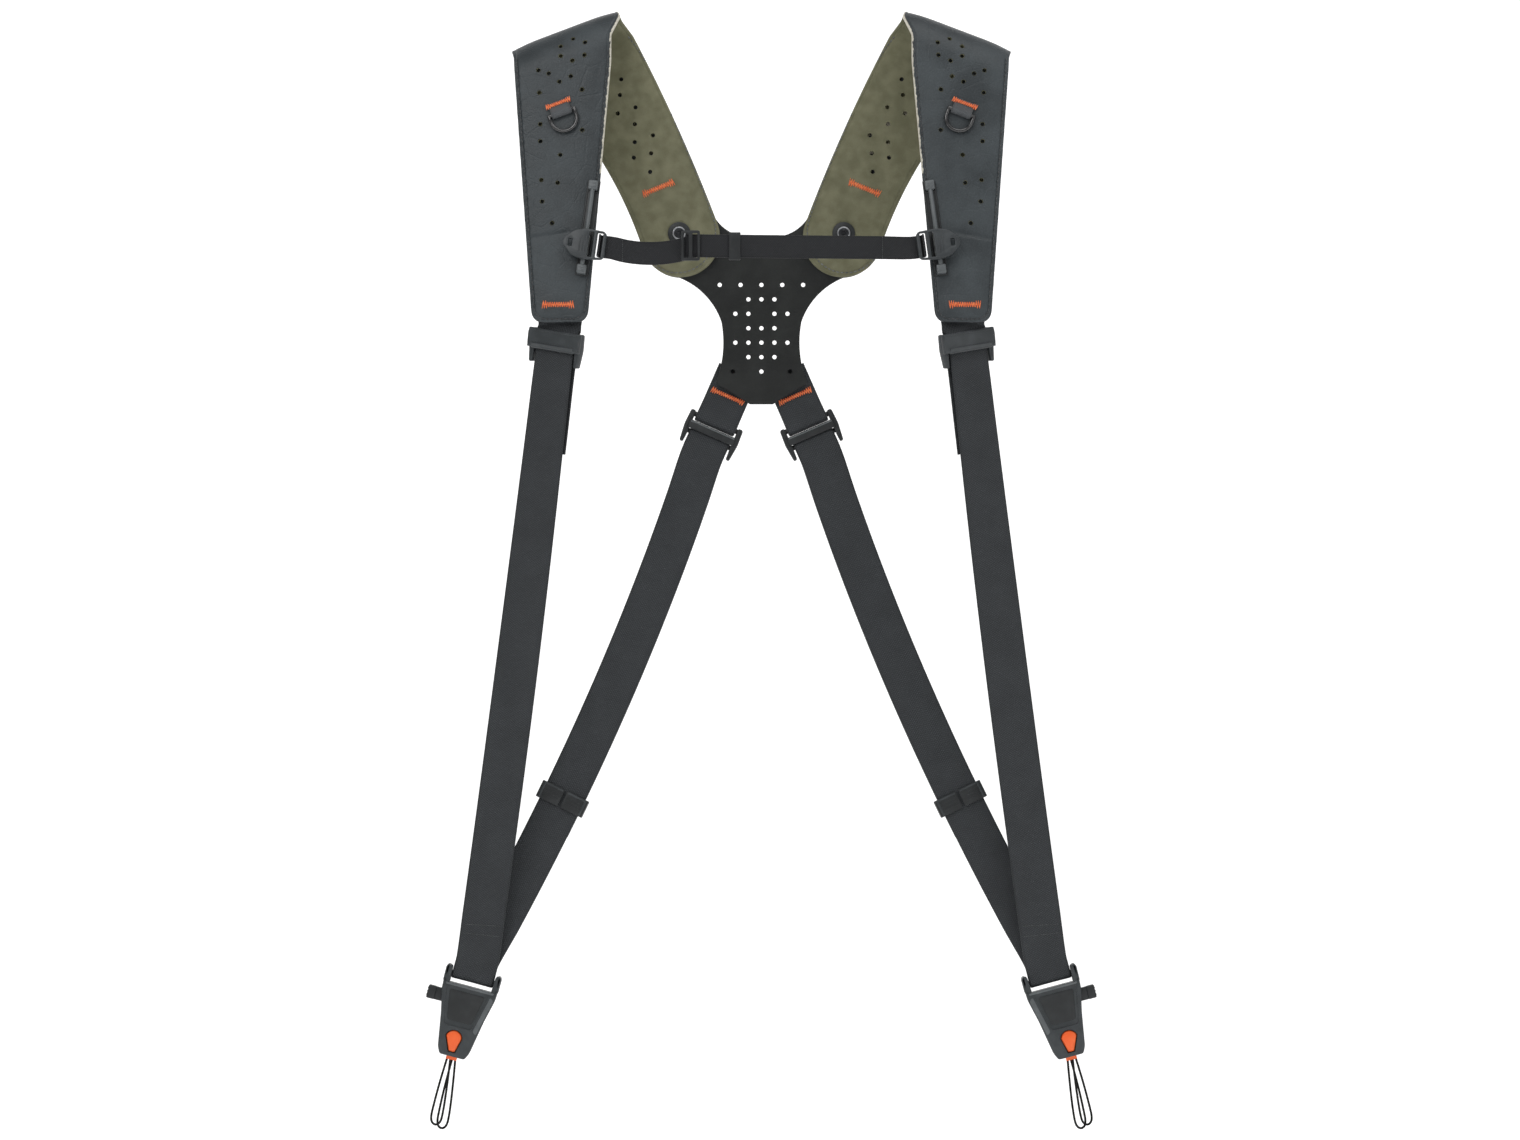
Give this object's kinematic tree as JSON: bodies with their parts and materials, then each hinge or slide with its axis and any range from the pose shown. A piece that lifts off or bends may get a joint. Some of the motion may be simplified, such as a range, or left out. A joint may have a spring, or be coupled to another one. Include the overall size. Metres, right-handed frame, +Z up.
{
  "type": "binocular harness pack",
  "caption": "Two-shoulder carrying harness with folded leather pads, pivoting yoke, webbing straps, sliding chest strap and quick-release cord connectors for binoculars.",
  "frame": {"origin": "between the two shoulder folds, level with the folds' outer ends", "axes": "+X to the wearer's left, -Y to the front, +Z up"},
  "size_m": [0.4708, 0.0965, 0.7849],
  "materials": {
    "outer_leather": "pebbled dark blue-grey leather",
    "foam": "closed-cell foam, only its edge shows",
    "lining_leather": "olive suede",
    "yoke_leather": "smooth near-black leather",
    "dark_metal": "blackened steel",
    "black_washer": "black nylon washer",
    "webbing": "ribbed slate-black nylon webbing",
    "chest_webbing": "fine slate-black webbing",
    "ring_webbing": "light grey webbing tab",
    "black_wire": "glossy black coated wire",
    "cord": "fine braided black cord",
    "anchor_plastic": "orange moulded plastic",
    "button_plastic": "dark grey moulded plastic",
    "spring_steel": "thin spring leaf",
    "hardware_light": "mid grey acetal",
    "hardware_dark": "dark grey acetal"
  },
  "bodies": {
    "yoke": {"yoke": "yoke_leather", "pivot_nuts": "dark_metal", "pivot_washers": "black_washer", "pivot_screws": "dark_metal", "left_yoke_tab": "webbing", "right_yoke_tab": "webbing"},
    "left_pad": {"left_pad_lining": "lining_leather", "left_pad_foam": "foam", "left_pad_leather": "outer_leather", "left_pad_tab": "webbing", "left_sternum_rail": "hardware_light", "left_dring_tab": "ring_webbing"},
    "left_ring": {"left_dring": "black_wire"},
    "left_clip": {"left_sternum_clip": "hardware_light"},
    "left_chest": {"left_chest_strap": "chest_webbing", "chest_slider": "hardware_light"},
    "left_front": {"left_front_lock": "hardware_dark", "left_front_strap": "webbing", "left_connector_front": "hardware_dark", "left_connector_back": "hardware_dark", "left_connector_bar": "dark_metal", "left_button_spring": "spring_steel"},
    "left_button": {"left_release_button": "button_plastic"},
    "left_tongue": {"left_anchor": "anchor_plastic", "left_cord_loop_a": "cord", "left_cord_loop_b": "cord"},
    "left_rear": {"left_rear_lock": "hardware_dark", "left_rear_strap": "webbing"},
    "left_keeper": {"left_strap_keeper": "hardware_dark"},
    "right_pad": {"right_pad_lining": "lining_leather", "right_pad_foam": "foam", "right_pad_leather": "outer_leather", "right_pad_tab": "webbing", "right_sternum_rail": "hardware_light", "right_dring_tab": "ring_webbing"},
    "right_ring": {"right_dring": "black_wire"},
    "right_clip": {"right_sternum_clip": "hardware_light"},
    "right_chest": {"right_chest_strap": "chest_webbing", "chest_keeper": "hardware_dark"},
    "right_front": {"right_front_lock": "hardware_dark", "right_front_strap": "webbing", "right_connector_front": "hardware_dark", "right_connector_back": "hardware_dark", "right_connector_bar": "dark_metal", "right_button_spring": "spring_steel"},
    "right_button": {"right_release_button": "button_plastic"},
    "right_tongue": {"right_anchor": "anchor_plastic", "right_cord_loop_a": "cord", "right_cord_loop_b": "cord"},
    "right_rear": {"right_rear_lock": "hardware_dark", "right_rear_strap": "webbing"},
    "right_keeper": {"right_strap_keeper": "hardware_dark"}
  },
  "joints": [
    {"name": "left_pad_swing", "type": "hinge", "parent": "yoke", "child": "left_pad", "pos_m": [-0.058, 0.0226, -0.1266], "axis": [0, 1, 0], "range_deg": [-4, 4]},
    {"name": "left_front_swing", "type": "hinge", "parent": "left_pad", "child": "left_front", "pos_m": [-0.141, -0.04668, -0.2005], "axis": [0, 1, 0], "range_deg": [-3, 3]},
    {"name": "left_rear_swing", "type": "hinge", "parent": "yoke", "child": "left_rear", "pos_m": [-0.032, 0.02975, -0.26], "axis": [0, 1, 0], "range_deg": [-3, 3]},
    {"name": "left_clip_slide", "type": "slide", "parent": "left_pad", "child": "left_clip", "axis": [0.1307, 0.1534, 0.9795], "range_m": [-0.007, 0.033]},
    {"name": "left_chest_turn", "type": "hinge", "parent": "left_clip", "child": "left_chest", "pos_m": [-0.11158, -0.05432, -0.14007], "axis": [0, 1, 0], "range_deg": [-4.5, 4.5]},
    {"name": "left_dring_swing", "type": "hinge", "parent": "left_pad", "child": "left_ring", "pos_m": [-0.1392, -0.03425, -0.04546], "axis": [0.9354, 0, 0.3535], "range_deg": [-150, 0]},
    {"name": "left_keeper_slide", "type": "slide", "parent": "left_rear", "child": "left_keeper", "axis": [0.4356, 0.059, 0.8982], "range_m": [-0.014, 0.03]},
    {"name": "left_button_press", "type": "slide", "parent": "left_front", "child": "left_button", "axis": [0.9659, 0, -0.2588], "range_m": [0, 0.0024], "stiffness_N_per_m": 400, "springref_m": -0.002},
    {"name": "left_anchor_release", "type": "slide", "parent": "left_front", "child": "left_tongue", "axis": [-0.2588, 0, -0.9659], "range_m": [0, 0.028]},
    {"name": "right_pad_swing", "type": "hinge", "parent": "yoke", "child": "right_pad", "pos_m": [0.058, 0.0226, -0.1266], "axis": [0, 1, 0], "range_deg": [-4, 4]},
    {"name": "right_front_swing", "type": "hinge", "parent": "right_pad", "child": "right_front", "pos_m": [0.141, -0.04668, -0.2005], "axis": [0, 1, 0], "range_deg": [-3, 3]},
    {"name": "right_rear_swing", "type": "hinge", "parent": "yoke", "child": "right_rear", "pos_m": [0.032, 0.02975, -0.26], "axis": [0, 1, 0], "range_deg": [-3, 3]},
    {"name": "right_clip_slide", "type": "slide", "parent": "right_pad", "child": "right_clip", "axis": [-0.1307, 0.1534, 0.9795], "range_m": [-0.007, 0.033]},
    {"name": "right_chest_turn", "type": "hinge", "parent": "right_clip", "child": "right_chest", "pos_m": [0.11158, -0.05432, -0.14007], "axis": [0, 1, 0], "range_deg": [-4.5, 4.5]},
    {"name": "right_dring_swing", "type": "hinge", "parent": "right_pad", "child": "right_ring", "pos_m": [0.1392, -0.03425, -0.04546], "axis": [0.9354, 0, -0.3535], "range_deg": [-150, 0]},
    {"name": "right_keeper_slide", "type": "slide", "parent": "right_rear", "child": "right_keeper", "axis": [-0.4356, 0.059, 0.8982], "range_m": [-0.014, 0.03]},
    {"name": "right_button_press", "type": "slide", "parent": "right_front", "child": "right_button", "axis": [-0.9659, 0, -0.2588], "range_m": [0, 0.0024], "stiffness_N_per_m": 400, "springref_m": -0.002},
    {"name": "right_anchor_release", "type": "slide", "parent": "right_front", "child": "right_tongue", "axis": [0.2588, 0, -0.9659], "range_m": [0, 0.028]}
  ],
  "couplings": [
    {"joint": "left_front_swing", "follows": "left_pad_swing", "ratio": -0.6244},
    {"joint": "left_rear_swing", "follows": "left_pad_swing", "ratio": 0.6224},
    {"joint": "left_chest_turn", "follows": "left_pad_swing", "ratio": -1},
    {"joint": "right_pad_swing", "follows": "left_pad_swing", "ratio": -1},
    {"joint": "right_clip_slide", "follows": "left_clip_slide", "ratio": 1},
    {"joint": "right_front_swing", "follows": "left_pad_swing", "ratio": 0.6244},
    {"joint": "right_rear_swing", "follows": "left_pad_swing", "ratio": -0.6224},
    {"joint": "right_chest_turn", "follows": "left_pad_swing", "ratio": 1}
  ]
}
